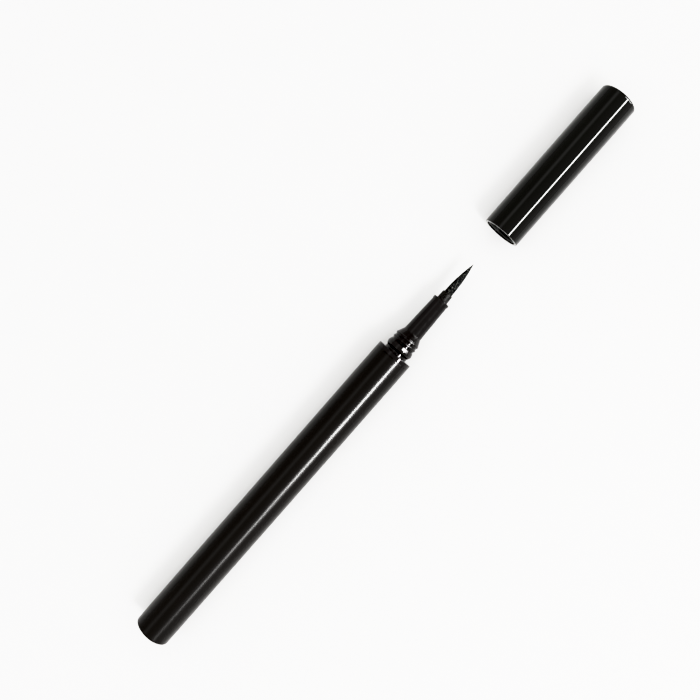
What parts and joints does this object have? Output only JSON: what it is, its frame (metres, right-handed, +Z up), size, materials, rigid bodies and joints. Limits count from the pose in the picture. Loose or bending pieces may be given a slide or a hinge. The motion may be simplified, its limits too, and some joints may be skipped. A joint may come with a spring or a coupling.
{
  "type": "liquid eyeliner pen",
  "caption": "Slim round pen with a fine pointed brush tip, ink tank with mixing ball and finned collector, and a pull-off cap with a spring-loaded inner seal.",
  "frame": {"origin": "on the plane that the pen lies on, under the middle of the whole length with the cap pulled off", "axes": "+X along the pen's axis from the tail to the brush and on to the cap, +Z up from the plane that the pen lies on"},
  "size_m": [0.1796, 0.01, 0.01],
  "materials": {
    "satin_black_plastic": "semi-gloss moulded black plastic",
    "gloss_black_plastic": "polished moulded black plastic",
    "holder_plastic": "moulded black plastic, wet with ink",
    "wet_filament": "fine plastic filaments, wet with black ink",
    "feed_acetal": "extruded white plastic rod",
    "collector_plastic": "moulded natural white plastic",
    "seal_rubber": "black nitrile rubber",
    "ball_steel": "polished stainless steel",
    "cap_gloss_black": "high-gloss black plastic",
    "liner_plastic": "moulded black plastic",
    "inner_cap_plastic": "soft natural white plastic",
    "spring_steel": "drawn spring wire"
  },
  "bodies": {
    "pen": {"barrel": "satin_black_plastic", "tail_plug": "satin_black_plastic", "front_section": "gloss_black_plastic", "nib_holder": "holder_plastic", "brush_nib": "wet_filament", "feed_rod": "feed_acetal", "ink_collector": "collector_plastic", "tank_bush": "collector_plastic", "tank_seal": "seal_rubber"},
    "ball": {"mixing_ball": "ball_steel"},
    "cap": {"cap_shell": "cap_gloss_black", "cap_liner": "liner_plastic", "inner_cap_spring": "spring_steel"},
    "inner_seal": {"inner_cap": "inner_cap_plastic"}
  },
  "joints": [
    {"name": "cap_slide", "type": "slide", "parent": "pen", "child": "cap", "axis": [-1, 0, 0], "range_m": [0, 0.03985]},
    {"name": "inner_cap_travel", "type": "slide", "parent": "cap", "child": "inner_seal", "axis": [1, 0, 0], "range_m": [0, 0.002], "stiffness_N_per_m": 150, "springref_m": -0.002, "deforming": ["inner_cap_spring"]},
    {"name": "ball_roll", "type": "slide", "parent": "pen", "child": "ball", "axis": [1, 0, 0], "range_m": [-0.03324, 0.02216]}
  ]
}
